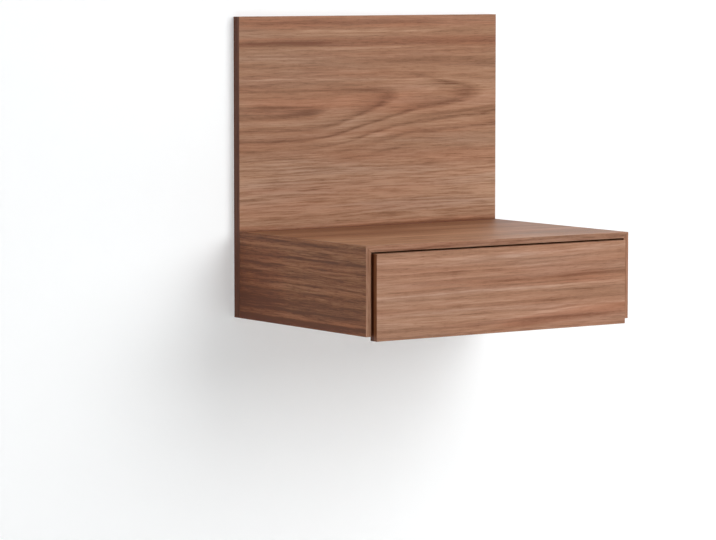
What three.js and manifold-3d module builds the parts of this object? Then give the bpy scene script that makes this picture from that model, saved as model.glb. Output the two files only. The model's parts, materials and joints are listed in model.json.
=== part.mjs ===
// A nightstand that hangs on a wall: a tall veneered panel, a shallow box in front of its lower part
// and one drawer on ball-bearing slides. Lengths are millimetres.
// The wall is the plane y = 0 and the front faces -Y. +Z is up, and +X is the right-hand side seen from
// the front. The origin is the centre of the panel's rear face.

import * as THREE from "three";
import { mergeVertices } from "three/addons/utils/BufferGeometryUtils.js";
import Module from "manifold-3d";

// Driving dimensions

// Panel and box
const panelWidth = 550;
const panelHeight = 518;
const panelThickness = 18;
const boxHeight = 149;
const boxDepth = 380; // from the panel's face to the front edges of the box
const boardThickness = 10.5;
const innerBackThickness = 12;
const rabbetDepth = 4; // how far the bottom board reaches into each side
const seamGap = 0.3; // glue line or resting gap between two pieces

// Drawer front and the gaps round it
const frontThickness = 18;
const frontProudDepth = 10; // how far it stands in front of the box's edges
const frontOverhangHeight = 7.5; // how far it hangs below the box
const frontSideGap = 4;
const frontTopGap = 2.5;
const closedGap = 2; // between the bottom board's front edge and the drawer front

// Drawer box
const drawerBoardThickness = 12;
const drawerFloorClearance = 7.5; // above the bottom board
const drawerTopClearance = 20.5; // below the top board
const drawerBottomThickness = 6;
const drawerBottomInset = 10; // its underside above the drawer's lower edge
const housingDepth = 5; // grooves and housings in the drawer's boards

// Mitre splines
const splineThickness = 2.5;
const splineWidth = 8;
const splineCornerOffset = 5;
const splineFrontInset = 20; // from the front edge of the box

// Hanging cleats
const cleatThickness = 2;
const cleatPlateHeight = 30;
const cleatLipHeight = 12;
const cleatLipClearance = 1; // room behind the wall cleat's lip beside the other lip
const cleatEndInset = 55; // from each end of the panel
const cleatTopInset = 88; // where the cleats engage, below the panel's top
const cleatScrewInset = 25; // from each end of the cleat
const cleatScrewCount = 4;
const cleatLiftHeight = 16; // room below the wall cleat for lifting the panel on
const cleatTopClearance = 2;
const pocketEndClearance = 8;
const wallHoleRadius = 2.75;

// Slides
const slideRearClearance = 3.7; // in front of the board at the box's back
const slideSpaceWidth = 12.7; // between the box's side and the drawer's side
const slideHeight = 45;
const slideMetalThickness = 1.2;
const slideFrontInset = 4; // behind the bottom board's front edge
const slideMiddleHeight = 40; // its middle above the drawer's lower edge
const slideLipHeight = 1.3;
const flangeEndClearance = 0.6;
const ballRadius = 1.5;
const cageMetalThickness = 0.7;
const cageSideClearance = 0.4;
const cageEndInset = 12;
const cageTravelClearance = 25; // length that a cage gives up so that it never leaves its members
const ballsPerArm = 5;
const slideScrewInset = 37;
const accessHoleRadius = 7;
const accessHoleInset = 80;

// Release levers in the drawer members: a paddle at the front, a round tail and a riveted boss
const leverInset = 150; // the boss behind the slide's front end
const leverThickness = 2.4;
const leverPaddleRadius = 4;
const leverPaddleLength = 22; // from the boss to the paddle's middle
const leverTailRadius = 2.6;
const leverTailLength = 20;
const leverHubRadius = 4.2;
const leverBossRadius = 1.8;
const leverRivetRadius = 3;
const leverRivetThickness = 0.8;

// Bumpers
const bumperRadius = 4;
const bumperChamferWidth = 0.4;
const bumperInset = 40;

// Screws: the head is a low rim over a cone, and a tip ends the shank
const panelScrew = {
  headDiameter: 9,
  shankDiameter: 4.5,
  length: 27.5,
  rimHeight: 0.5,
  headHeight: 2.6,
  tipLength: 4,
};
const cleatScrew = {
  headDiameter: 7,
  shankDiameter: 3.5,
  length: 11,
  rimHeight: 0.3,
  headHeight: 1.8,
  tipLength: 3,
};
const slideScrew = {
  headDiameter: 6.5,
  shankDiameter: 3.5,
  length: 9,
  rimHeight: 0.3,
  headHeight: 1.8,
  tipLength: 3,
};
const frontScrew = {
  headDiameter: 8,
  shankDiameter: 4,
  length: 25,
  rimHeight: 0.5,
  headHeight: 2.4,
  tipLength: 4,
};
const recessWidth = 0.9;
const recessReachShare = 0.62; // of the head's diameter
const recessDepthShare = 0.75; // of the head's height
const headSinkDepth = 0.2; // how far a head lies below its surface
const panelScrewEndInset = 75; // from each end of the panel
const panelScrewEdgeInset = 24; // from the box's top and bottom boards
const frontScrewInset = 60;
const frontScrewEdgeInset = 24;

// Shaping
const overrunLength = 1; // how far a cutting solid passes a face
const screwSides = 10;
const ballSides = 6;
const ballRings = 4;
const holeSides = 12;
const bumperSides = 16;
const leverArcSteps = 8;

// Derived places
const halfWidth = panelWidth / 2;
const panelFaceY = -panelThickness;
const boxBackY = panelFaceY - seamGap;
const boxFrontY = panelFaceY - boxDepth;
const innerHalf = halfWidth - boardThickness;
const innerTop = boxHeight - boardThickness;
const innerBackFaceY = boxBackY - innerBackThickness;
const mitreShift = seamGap * Math.SQRT1_2;

const frontFaceY = boxFrontY - frontProudDepth;
const frontBackY = frontFaceY + frontThickness;
const frontHalf = innerHalf - frontSideGap;
const frontTop = innerTop - frontTopGap;
const bottomFrontY = frontBackY + closedGap;

const drawerHalf = innerHalf - slideSpaceWidth;
const drawerInnerHalf = drawerHalf - drawerBoardThickness;
const drawerLow = boardThickness + drawerFloorClearance;
const drawerTop = innerTop - drawerTopClearance;
const drawerFrontY = frontBackY + seamGap;
const slideFrontY = bottomFrontY + slideFrontInset;
const slideLength = innerBackFaceY - slideRearClearance - slideFrontY;
const slideTravel = slideLength; // the slides open all the way
const drawerRearY = drawerFrontY + slideLength;
const subfrontInnerY = drawerFrontY + drawerBoardThickness;
const drawerBackInnerY = drawerRearY - drawerBoardThickness;
const drawerBottomLow = drawerLow + drawerBottomInset;

const cleatLength = panelWidth - 2 * cleatEndInset;
const cleatHeight = panelHeight - cleatTopInset;
const cleatLipOffset = cleatThickness + cleatLipClearance;
const cleatDepth = 2 * cleatThickness + 1.5 * cleatLipClearance;
const panelCleatTop = cleatHeight + cleatLipHeight + seamGap + cleatPlateHeight;
const pocketDepth = cleatDepth + seamGap;
const pocketLow = cleatHeight - cleatPlateHeight - cleatLiftHeight;
const pocketHigh = panelCleatTop + cleatTopClearance;

// The slide's section: u runs from the box's side towards the drawer, v up from the slide's middle
const slideMiddleZ = drawerLow + slideMiddleHeight;
const cabinetWebU = seamGap;
const outerCageU = cabinetWebU + slideMetalThickness + cageSideClearance;
const middleWebU = outerCageU + cageMetalThickness + cageSideClearance;
const innerCageU = middleWebU + slideMetalThickness + cageSideClearance;
const drawerFlangeU = innerCageU + cageMetalThickness + cageSideClearance;
const drawerWebEndU = slideSpaceWidth - seamGap;
const drawerWebU = drawerWebEndU - slideMetalThickness;
const flangeEndU = drawerWebU - flangeEndClearance;
const lipU = flangeEndU - slideMetalThickness;
const ballU = (innerCageU + cageMetalThickness + lipU) / 2;
const cabinetHalf = slideHeight / 2;
const outerBallV = cabinetHalf - slideMetalThickness - seamGap - ballRadius;
const middleHalf = outerBallV - ballRadius - seamGap;
const innerBallV = middleHalf - slideMetalThickness - seamGap - ballRadius;
const drawerMemberHalf = innerBallV - ballRadius - seamGap;
const cageLength = slideLength - slideTravel / 2 - cageTravelClearance;
const leverU = drawerWebU - seamGap - leverThickness;
const slideScrewPlaces = [slideScrewInset, slideLength - slideScrewInset];
const accessHolePlaces = [accessHoleInset, slideLength - accessHoleInset];

// Materials
const finishes = {
  walnut: { color: 0x9e765f, roughness: 0.55, metalness: 0 },
  walnutDark: { color: 0x7a5540, roughness: 0.6, metalness: 0 },
  plywood: { color: 0xd2b48c, roughness: 0.6, metalness: 0 },
  zinc: { color: 0xb8bcc0, roughness: 0.35, metalness: 1 },
  steel: { color: 0x9a9da1, roughness: 0.3, metalness: 1 },
  aluminium: { color: 0xc9ccd0, roughness: 0.4, metalness: 1 },
  darkPlastic: { color: 0x2b2b2b, roughness: 0.5, metalness: 0 },
  rubber: { color: 0xcfcfca, roughness: 0.7, metalness: 0 },
};

const wasm = await Module();
wasm.setup();

// Basic shapes

function solidOf(geometry) {
  const bare = new THREE.BufferGeometry();
  bare.setAttribute("position", geometry.getAttribute("position"));
  bare.setIndex(geometry.index);
  const merged = mergeVertices(bare);
  const mesh = new wasm.Mesh({
    numProp: 3,
    vertProperties: Float32Array.from(merged.getAttribute("position").array),
    triVerts: Uint32Array.from(merged.index.array),
  });
  return new wasm.Manifold(mesh);
}

function geometryOf(solid) {
  const mesh = solid.getMesh();
  const geometry = new THREE.BufferGeometry();
  geometry.setAttribute("position", new THREE.BufferAttribute(mesh.vertProperties, mesh.numProp));
  geometry.setIndex(new THREE.BufferAttribute(mesh.triVerts, 1));
  geometry.computeVertexNormals();
  return geometry;
}

function blockGeometry([x0, x1], [y0, y1], [z0, z1]) {
  const geometry = new THREE.BoxGeometry(x1 - x0, y1 - y0, z1 - z0);
  geometry.translate((x0 + x1) / 2, (y0 + y1) / 2, (z0 + z1) / 2);
  return geometry;
}

function block(xs, ys, zs) {
  return solidOf(blockGeometry(xs, ys, zs));
}

// The same block grown all round, for the recess that it sits in
function blockRoom([x0, x1], [y0, y1], [z0, z1], room = seamGap) {
  return block([x0 - room, x1 + room], [y0 - room, y1 + room], [z0 - room, z1 + room]);
}

// A shape of (y, z) points, drawn out along X from x0 to x1
function shapeAlongX(shape, x0, x1) {
  const geometry = new THREE.ExtrudeGeometry(shape, { depth: x1 - x0, bevelEnabled: false });
  const basis = new THREE.Matrix4().makeBasis(
    new THREE.Vector3(0, 1, 0),
    new THREE.Vector3(0, 0, 1),
    new THREE.Vector3(1, 0, 0),
  );
  geometry.applyMatrix4(basis);
  geometry.translate(x0, 0, 0);
  return solidOf(geometry);
}

function prismAlongX(points, x0, x1) {
  return shapeAlongX(new THREE.Shape(points.map(([y, z]) => new THREE.Vector2(y, z))), x0, x1);
}

// An outline of (x, z) points, drawn out along Y from y0 to y1
function prismAlongY(points, y0, y1) {
  const shape = new THREE.Shape(points.map(([x, z]) => new THREE.Vector2(x, z)));
  const geometry = new THREE.ExtrudeGeometry(shape, { depth: y1 - y0, bevelEnabled: false });
  const basis = new THREE.Matrix4().makeBasis(
    new THREE.Vector3(1, 0, 0),
    new THREE.Vector3(0, 0, 1),
    new THREE.Vector3(0, -1, 0),
  );
  geometry.applyMatrix4(basis);
  geometry.translate(0, y1, 0);
  return solidOf(geometry);
}

// A profile of (radius, height) points turned about the Y axis
function turned(profile, sides) {
  const points = profile.map(([radius, height]) => new THREE.Vector2(radius, height));
  return new THREE.LatheGeometry(points, sides);
}

const turningAxis = new THREE.Vector3(0, 1, 0);

function aimed(geometry, at, pointing) {
  const turn = new THREE.Quaternion().setFromUnitVectors(turningAxis, pointing);
  geometry.applyQuaternion(turn);
  geometry.translate(at.x, at.y, at.z);
  return solidOf(geometry);
}

function cut(solid, tools) {
  return tools.reduce((left, tool) => left.subtract(tool), solid);
}

function join(solid, others) {
  return others.reduce((whole, other) => whole.add(other), solid);
}

function roundHole(radius, at, pointing, length) {
  const profile = [
    [0, -overrunLength],
    [radius, -overrunLength],
    [radius, length + overrunLength],
    [0, length + overrunLength],
  ];
  return aimed(turned(profile, holeSides), at, pointing);
}

function piece(name, solid, finish) {
  const mesh = new THREE.Mesh(geometryOf(solid), new THREE.MeshStandardMaterial(finishes[finish]));
  mesh.name = name;
  return mesh;
}

// Screws: the head's top is at the origin and the tip points along +Y

function screwSolid({ headDiameter, shankDiameter, length, rimHeight, headHeight, tipLength }) {
  const profile = [
    [0, 0],
    [headDiameter / 2, 0],
    [headDiameter / 2, rimHeight],
    [shankDiameter / 2, headHeight],
    [shankDiameter / 2, length - tipLength],
    [0, length],
  ];
  const reach = (headDiameter * recessReachShare) / 2;
  const slotHalf = recessWidth / 2;
  const slotY = [-overrunLength, headHeight * recessDepthShare];
  const recess = [
    block([-reach, reach], slotY, [-slotHalf, slotHalf]),
    block([-slotHalf, slotHalf], slotY, [-reach, reach]),
  ];
  return cut(solidOf(turned(profile, screwSides)), recess);
}

function screwRoom(kind, at, pointing) {
  const { headDiameter, shankDiameter, length, rimHeight, headHeight, tipLength } = kind;
  const headRadius = headDiameter / 2 + seamGap;
  const shankRadius = shankDiameter / 2 + seamGap;
  const profile = [
    [0, -overrunLength],
    [headRadius, -overrunLength],
    [headRadius, rimHeight],
    [shankRadius, headHeight],
    [shankRadius, length - tipLength],
    [0, length + seamGap],
  ];
  return aimed(turned(profile, screwSides), at, pointing);
}

function screwPiece(name, kind, at, pointing, finish = "zinc") {
  const mesh = piece(name, screwSolid(kind), finish);
  mesh.quaternion.setFromUnitVectors(turningAxis, pointing);
  mesh.position.copy(at);
  return mesh;
}

const toFront = new THREE.Vector3(0, -1, 0);
const toWall = new THREE.Vector3(0, 1, 0);
const outwards = (side) => new THREE.Vector3(side, 0, 0);

// Where the screws go, in the frame whose origin is the middle of the panel's lower rear edge
const panelScrewXs = [-1, 0, 1].map((side) => side * (halfWidth - panelScrewEndInset));
const panelScrewZs = [boardThickness + panelScrewEdgeInset, innerTop - panelScrewEdgeInset];
const panelScrewPoints = panelScrewZs.flatMap((z) =>
  panelScrewXs.map((x) => new THREE.Vector3(x, -headSinkDepth, z)),
);

const cleatScrewStep = (cleatLength - 2 * cleatScrewInset) / (cleatScrewCount - 1);
const cleatScrewXs = Array.from(
  { length: cleatScrewCount },
  (_, n) => cleatScrewInset - cleatLength / 2 + n * cleatScrewStep,
);

// The panel cleat is turned over about X, so a point (y, z) of its own frame lies at (-y, -z) from here
const panelCleatOrigin = new THREE.Vector3(0, -cleatDepth, panelCleatTop - cleatPlateHeight);
const cleatScrewZ = cleatPlateHeight / 2;
const cleatHeadY = panelCleatOrigin.y + cleatThickness - headSinkDepth;
const cleatScrewPoints = cleatScrewXs.map(
  (x) => new THREE.Vector3(x, cleatHeadY, panelCleatOrigin.z + cleatScrewZ),
);

const frontScrewPoints = [drawerLow + frontScrewEdgeInset, drawerTop - frontScrewEdgeInset].flatMap((z) =>
  [-1, 1].map((side) => {
    const x = side * (drawerInnerHalf - frontScrewInset);
    return new THREE.Vector3(x, subfrontInnerY - headSinkDepth, z);
  }),
);

function slidePoint(side, u, along) {
  return new THREE.Vector3(side * (innerHalf - u), slideFrontY + along, slideMiddleZ);
}

// Where the heads of the slides' screws lie across the slide
const cabinetHeadU = cabinetWebU + slideMetalThickness - headSinkDepth;
const drawerHeadU = drawerWebU + headSinkDepth;

const boxParts = {
  innerBack: [
    [-innerHalf + seamGap, innerHalf - seamGap],
    [innerBackFaceY, boxBackY],
    [boardThickness + seamGap, innerTop - seamGap],
  ],
  bottom: [
    [-innerHalf - rabbetDepth + seamGap, innerHalf + rabbetDepth - seamGap],
    [bottomFrontY, boxBackY],
    [0, boardThickness],
  ],
};

const drawerParts = {
  subfront: [
    [-drawerInnerHalf - housingDepth + seamGap, drawerInnerHalf + housingDepth - seamGap],
    [drawerFrontY, subfrontInnerY],
    [drawerLow, drawerTop],
  ],
  back: [
    [-drawerInnerHalf - housingDepth + seamGap, drawerInnerHalf + housingDepth - seamGap],
    [drawerBackInnerY, drawerRearY],
    [drawerLow, drawerTop],
  ],
  bottom: [
    [-drawerInnerHalf - housingDepth + seamGap, drawerInnerHalf + housingDepth - seamGap],
    [subfrontInnerY - housingDepth + seamGap, drawerBackInnerY + housingDepth - seamGap],
    [drawerBottomLow, drawerBottomLow + drawerBottomThickness],
  ],
};

// Panel and hanging cleats

function backPanel() {
  const pocketHalf = cleatLength / 2 + pocketEndClearance;
  const board = block([-halfWidth, halfWidth], [panelFaceY, 0], [0, panelHeight]);
  const pocket = block([-pocketHalf, pocketHalf], [-pocketDepth, overrunLength], [pocketLow, pocketHigh]);
  const rooms = [
    ...panelScrewPoints.map((at) => screwRoom(panelScrew, at, toFront)),
    ...cleatScrewPoints.map((at) => screwRoom(cleatScrew, at, toFront)),
  ];
  return piece("back_panel", cut(board, [pocket, ...rooms]), "walnut");
}

// A Z-shaped rail: its plate lies on the plane y = 0 below z = 0, and its lip stands above, off the plane
function cleatSolid() {
  const outline = [
    [0, -cleatPlateHeight],
    [0, 0],
    [-cleatLipOffset, 0],
    [-cleatLipOffset, cleatLipHeight],
    [-cleatLipOffset - cleatThickness, cleatLipHeight],
    [-cleatLipOffset - cleatThickness, -cleatThickness],
    [-cleatThickness, -cleatThickness],
    [-cleatThickness, -cleatPlateHeight],
  ];
  return prismAlongX(outline, -cleatLength / 2, cleatLength / 2);
}

function wallCleat() {
  const holes = cleatScrewXs.map((x) =>
    roundHole(wallHoleRadius, new THREE.Vector3(x, 0, -cleatScrewZ), toFront, cleatThickness),
  );
  const mesh = piece("wall_cleat", cut(cleatSolid(), holes), "aluminium");
  mesh.position.set(0, 0, cleatHeight);
  return mesh;
}

function panelCleat() {
  const group = new THREE.Group();
  group.position.copy(panelCleatOrigin);
  group.rotation.x = Math.PI;
  const headY = headSinkDepth - cleatThickness;
  const heads = cleatScrewXs.map((x) => new THREE.Vector3(x, headY, -cleatScrewZ));
  const rooms = heads.map((at) => screwRoom(cleatScrew, at, toWall));
  group.add(piece("panel_cleat", cut(cleatSolid(), rooms), "aluminium"));
  heads.forEach((at, n) => group.add(screwPiece(`cleat_screw_${n + 1}`, cleatScrew, at, toWall)));
  return group;
}

// Box

const splineTurn = Math.PI / 4;

function splineGeometry(side, room) {
  const half = new THREE.Vector2(splineThickness / 2 + room, splineWidth / 2 + room);
  const y0 = boxFrontY + splineFrontInset - room;
  const geometry = blockGeometry([-half.x, half.x], [y0, boxBackY + room], [-half.y, half.y]);
  geometry.rotateY(side * splineTurn);
  const away = splineCornerOffset * Math.SQRT1_2;
  geometry.translate(side * (innerHalf + away), 0, innerTop + away);
  return geometry;
}

function mitreSpline(name, side) {
  return piece(name, solidOf(splineGeometry(side, 0)), "plywood");
}

function topBoard() {
  const outline = [
    [-halfWidth + mitreShift, boxHeight],
    [-innerHalf + mitreShift, innerTop],
    [innerHalf - mitreShift, innerTop],
    [halfWidth - mitreShift, boxHeight],
  ];
  const board = prismAlongY(outline, boxFrontY, boxBackY);
  const slots = [-1, 1].map((side) => solidOf(splineGeometry(side, seamGap)));
  return piece("top_board", cut(board, slots), "walnut");
}

function sideBoard(name, side) {
  const outline = [
    [side * halfWidth, 0],
    [side * halfWidth, boxHeight - mitreShift],
    [side * innerHalf, innerTop - mitreShift],
    [side * innerHalf, 0],
  ];
  const board = prismAlongY(outline, boxFrontY, boxBackY);
  const [bottomXs, bottomYs, bottomZs] = boxParts.bottom;
  const cuts = [
    block(
      [bottomXs[0] - seamGap, bottomXs[1] + seamGap],
      [bottomYs[0] - seamGap, bottomYs[1] + overrunLength],
      [bottomZs[0] - overrunLength, bottomZs[1] + seamGap],
    ),
    solidOf(splineGeometry(side, seamGap)),
    ...slideScrewPlaces.map((along) =>
      screwRoom(slideScrew, slidePoint(side, cabinetHeadU, along), outwards(side)),
    ),
  ];
  return piece(name, cut(board, cuts), "walnut");
}

function innerBack() {
  const rooms = panelScrewPoints.map((at) => screwRoom(panelScrew, at, toFront));
  return piece("inner_back", cut(block(...boxParts.innerBack), rooms), "walnutDark");
}

function bottomBoard() {
  return piece("bottom_board", block(...boxParts.bottom), "walnut");
}

function bumper(name, side) {
  const thickness = closedGap - 2 * seamGap;
  const profile = [
    [0, 0],
    [bumperRadius, 0],
    [bumperRadius, thickness - bumperChamferWidth],
    [bumperRadius - bumperChamferWidth, thickness],
    [0, thickness],
  ];
  const mesh = piece(name, solidOf(turned(profile, bumperSides)), "rubber");
  mesh.quaternion.setFromUnitVectors(turningAxis, toFront);
  mesh.position.set(side * (frontHalf - bumperInset), bottomFrontY - seamGap, boardThickness / 2);
  return mesh;
}

// Slides, in a frame whose origin is on the box's side, at the slide's front end and middle height

function alongSlide(outline, start, length) {
  return prismAlongY(outline, start, start + length);
}

function cabinetMember() {
  const inner = cabinetHalf - slideMetalThickness;
  const webEnd = cabinetWebU + slideMetalThickness;
  const lower = [
    [webEnd, -inner],
    [lipU, -inner],
    [lipU, -inner + slideLipHeight],
    [flangeEndU, -inner + slideLipHeight],
    [flangeEndU, -cabinetHalf],
    [cabinetWebU, -cabinetHalf],
  ];
  const upper = lower.map(([u, v]) => [u, -v]).reverse();
  const rooms = slideScrewPlaces.map((along) =>
    screwRoom(slideScrew, new THREE.Vector3(cabinetHeadU, along, 0), outwards(-1)),
  );
  return cut(alongSlide([...lower, ...upper], 0, slideLength), rooms);
}

function middleMember() {
  const inner = middleHalf - slideMetalThickness;
  const webEnd = middleWebU + slideMetalThickness;
  const lower = [
    [webEnd, -inner],
    [flangeEndU, -inner],
    [flangeEndU, -middleHalf],
    [middleWebU, -middleHalf],
  ];
  const upper = lower.map(([u, v]) => [u, -v]).reverse();
  const holes = accessHolePlaces.map((along) =>
    roundHole(accessHoleRadius, new THREE.Vector3(middleWebU, along, 0), outwards(1), slideMetalThickness),
  );
  return cut(alongSlide([...lower, ...upper], 0, slideLength), holes);
}

function drawerMember() {
  const inner = drawerMemberHalf - slideMetalThickness;
  const lower = [
    [drawerWebU, -inner],
    [drawerFlangeU, -inner],
    [drawerFlangeU, -drawerMemberHalf],
    [drawerWebEndU, -drawerMemberHalf],
  ];
  const upper = lower.map(([u, v]) => [u, -v]).reverse();
  const rooms = slideScrewPlaces.map((along) =>
    screwRoom(slideScrew, new THREE.Vector3(drawerHeadU, along, 0), outwards(1)),
  );
  const channel = join(alongSlide([...lower, ...upper], 0, slideLength), [leverBoss()]);
  return cut(channel, rooms);
}

// The boss stands on the web and ends in a rivet head that keeps the lever on
function leverBoss() {
  const rootU = drawerWebU + slideMetalThickness / 2;
  const neck = rootU - leverU + seamGap;
  const profile = [
    [0, 0],
    [leverBossRadius, 0],
    [leverBossRadius, neck],
    [leverRivetRadius, neck],
    [leverRivetRadius, neck + leverRivetThickness],
    [0, neck + leverRivetThickness],
  ];
  return aimed(turned(profile, holeSides), new THREE.Vector3(rootU, leverInset, 0), outwards(-1));
}

function releaseLever() {
  const bar = new THREE.Shape();
  bar.absarc(-leverPaddleLength, 0, leverPaddleRadius, Math.PI / 2, (3 * Math.PI) / 2, false);
  bar.absarc(0, 0, leverHubRadius, (3 * Math.PI) / 2, (3 * Math.PI) / 2, false);
  bar.absarc(leverTailLength, 0, leverTailRadius, -Math.PI / 2, Math.PI / 2, false);
  bar.absarc(0, 0, leverHubRadius, Math.PI / 2, Math.PI / 2, false);
  const outline = new THREE.Shape(bar.getPoints(leverArcSteps));
  const lever = shapeAlongX(outline, leverU, leverU + leverThickness);
  const hubAt = new THREE.Vector3(leverU, 0, 0);
  const hole = roundHole(leverBossRadius + seamGap, hubAt, outwards(1), leverThickness);
  return cut(lever, [hole]);
}

// A channel-shaped strip whose two arms hold a row of balls each
function ballCage(webU, ballV) {
  const armHigh = ballV + cageMetalThickness / 2;
  const armLow = ballV - cageMetalThickness / 2;
  const armEnd = ballU + ballRadius;
  const start = (slideLength - cageLength) / 2;
  const lower = [
    [webU + cageMetalThickness, -armLow],
    [armEnd, -armLow],
    [armEnd, -armHigh],
    [webU, -armHigh],
  ];
  const upper = lower.map(([u, v]) => [u, -v]).reverse();
  const balls = [];
  for (const v of [-ballV, ballV]) {
    for (let n = 0; n < ballsPerArm; n += 1) {
      const step = (cageLength - 2 * cageEndInset) / (ballsPerArm - 1);
      const geometry = new THREE.SphereGeometry(ballRadius, ballSides, ballRings);
      geometry.translate(ballU, start + cageEndInset + n * step, v);
      balls.push(solidOf(geometry));
    }
  }
  return join(alongSlide([...lower, ...upper], start, cageLength), balls);
}

// The section is alike above and below its middle, so the right-hand slide is the left one turned over
function slide(hand, side) {
  const group = new THREE.Group();
  group.position.set(side * innerHalf, slideFrontY, slideMiddleZ);
  group.rotation.y = side > 0 ? Math.PI : 0;
  group.add(piece(`slide_cabinet_${hand}`, cabinetMember(), "zinc"));
  group.add(piece(`outer_ball_cage_${hand}`, ballCage(outerCageU, outerBallV), "steel"));
  group.add(piece(`slide_middle_${hand}`, middleMember(), "zinc"));
  group.add(piece(`inner_ball_cage_${hand}`, ballCage(innerCageU, innerBallV), "steel"));
  group.add(piece(`slide_drawer_${hand}`, drawerMember(), "zinc"));
  const lever = piece(`release_lever_${hand}`, releaseLever(), "darkPlastic");
  lever.position.y = leverInset;
  group.add(lever);
  ["front", "rear"].forEach((end, n) => {
    const along = slideScrewPlaces[n];
    const cabinetAt = new THREE.Vector3(cabinetHeadU, along, 0);
    const drawerAt = new THREE.Vector3(drawerHeadU, along, 0);
    group.add(screwPiece(`cabinet_slide_screw_${hand}_${end}`, slideScrew, cabinetAt, outwards(-1)));
    group.add(screwPiece(`drawer_slide_screw_${hand}_${end}`, slideScrew, drawerAt, outwards(1)));
  });
  return group;
}

// Drawer

function drawerFront() {
  const board = block([-frontHalf, frontHalf], [frontFaceY, frontBackY], [-frontOverhangHeight, frontTop]);
  const rooms = frontScrewPoints.map((at) => screwRoom(frontScrew, at, toFront));
  return piece("drawer_front", cut(board, rooms), "walnut");
}

function drawerSide(name, side) {
  const xs = [side * drawerInnerHalf, side * drawerHalf].sort((a, b) => a - b);
  const board = block(xs, [drawerFrontY, drawerRearY], [drawerLow, drawerTop]);
  const cuts = [
    ...Object.values(drawerParts).map((part) => blockRoom(...part)),
    ...slideScrewPlaces.map((along) =>
      screwRoom(slideScrew, slidePoint(side, drawerHeadU, along), outwards(-side)),
    ),
  ];
  return piece(name, cut(board, cuts), "plywood");
}

function drawerSubfront() {
  const rooms = frontScrewPoints.map((at) => screwRoom(frontScrew, at, toFront));
  const board = cut(block(...drawerParts.subfront), [blockRoom(...drawerParts.bottom), ...rooms]);
  return piece("drawer_subfront", board, "plywood");
}

function drawerBack() {
  const board = cut(block(...drawerParts.back), [blockRoom(...drawerParts.bottom)]);
  return piece("drawer_back", board, "plywood");
}

function drawerBottom() {
  return piece("drawer_bottom", block(...drawerParts.bottom), "plywood");
}

// Assembly

function screwSet(name, kind, points) {
  return points.map((at, n) => screwPiece(`${name}_${n + 1}`, kind, at, toFront));
}

const hanging = new THREE.Group();
hanging.add(backPanel(), wallCleat(), panelCleat());
hanging.add(...screwSet("panel_screw", panelScrew, panelScrewPoints));

const box = new THREE.Group();
box.add(topBoard(), sideBoard("side_left", -1), sideBoard("side_right", 1), bottomBoard(), innerBack());
box.add(mitreSpline("mitre_spline_left", -1), mitreSpline("mitre_spline_right", 1));
box.add(bumper("bumper_left", -1), bumper("bumper_right", 1));

const drawer = new THREE.Group();
drawer.add(drawerFront(), drawerSubfront(), drawerBack(), drawerBottom());
drawer.add(drawerSide("drawer_side_left", -1), drawerSide("drawer_side_right", 1));
drawer.add(...screwSet("front_screw", frontScrew, frontScrewPoints));

const nightstand = new THREE.Group();
nightstand.position.z = -panelHeight / 2;
nightstand.add(hanging, box, slide("left", -1), slide("right", 1), drawer);

export default nightstand;
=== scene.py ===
import json
import math

import bmesh
import bpy
from mathutils import Matrix, Vector


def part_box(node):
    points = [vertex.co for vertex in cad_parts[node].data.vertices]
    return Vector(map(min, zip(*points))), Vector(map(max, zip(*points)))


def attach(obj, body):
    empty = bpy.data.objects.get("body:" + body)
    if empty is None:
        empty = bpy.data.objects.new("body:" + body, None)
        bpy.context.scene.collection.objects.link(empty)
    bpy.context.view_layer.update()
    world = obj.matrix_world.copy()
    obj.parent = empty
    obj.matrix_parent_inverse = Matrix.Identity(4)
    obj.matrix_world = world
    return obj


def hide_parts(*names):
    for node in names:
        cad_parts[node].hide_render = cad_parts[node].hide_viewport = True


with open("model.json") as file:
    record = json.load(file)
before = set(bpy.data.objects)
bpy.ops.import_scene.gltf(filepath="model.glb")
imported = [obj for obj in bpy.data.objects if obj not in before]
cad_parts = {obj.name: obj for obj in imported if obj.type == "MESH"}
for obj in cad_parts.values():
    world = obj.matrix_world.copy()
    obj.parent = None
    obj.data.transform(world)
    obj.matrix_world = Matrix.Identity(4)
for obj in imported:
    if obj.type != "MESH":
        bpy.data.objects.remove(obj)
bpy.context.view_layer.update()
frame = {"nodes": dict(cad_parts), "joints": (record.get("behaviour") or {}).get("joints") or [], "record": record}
scene = bpy.context.scene
record = frame["record"]
mm = 0.001
print("frame loaded:", len(frame["nodes"]), "nodes")


# Small helpers for node trees

def newMaterial(name):
    material = bpy.data.materials.new(name)
    material.use_nodes = True
    tree = material.node_tree
    return material, tree, tree.nodes["Principled BSDF"]


def addNode(tree, kind, inputs=None, **settings):
    node = tree.nodes.new(kind)
    for key, value in settings.items():
        setattr(node, key, value)
    for key, value in (inputs or {}).items():
        if isinstance(value, bpy.types.NodeSocket):
            tree.links.new(value, node.inputs[key])
        else:
            node.inputs[key].default_value = value
    return node


def calc(tree, operation, *values, clamp=False):
    inputs = dict(enumerate(values))
    return addNode(tree, "ShaderNodeMath", inputs, operation=operation, use_clamp=clamp).outputs[0]


def total(tree, first, *others):
    for other in others:
        first = calc(tree, "ADD", first, other)
    return first


def product(tree, first, *others):
    for other in others:
        first = calc(tree, "MULTIPLY", first, other)
    return first


def centred(tree, value, amount):
    return product(tree, calc(tree, "SUBTRACT", value, 0.5), amount)


def remap(tree, value, low, high, toLow=0.0, toHigh=1.0, smooth=False):
    inputs = {"Value": value, "From Min": low, "From Max": high, "To Min": toLow, "To Max": toHigh}
    kind = "SMOOTHSTEP" if smooth else "LINEAR"
    return addNode(tree, "ShaderNodeMapRange", inputs, interpolation_type=kind).outputs[0]


def blended(tree, first, second, share):
    return total(tree, product(tree, first, 1 - share), product(tree, second, share))


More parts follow.
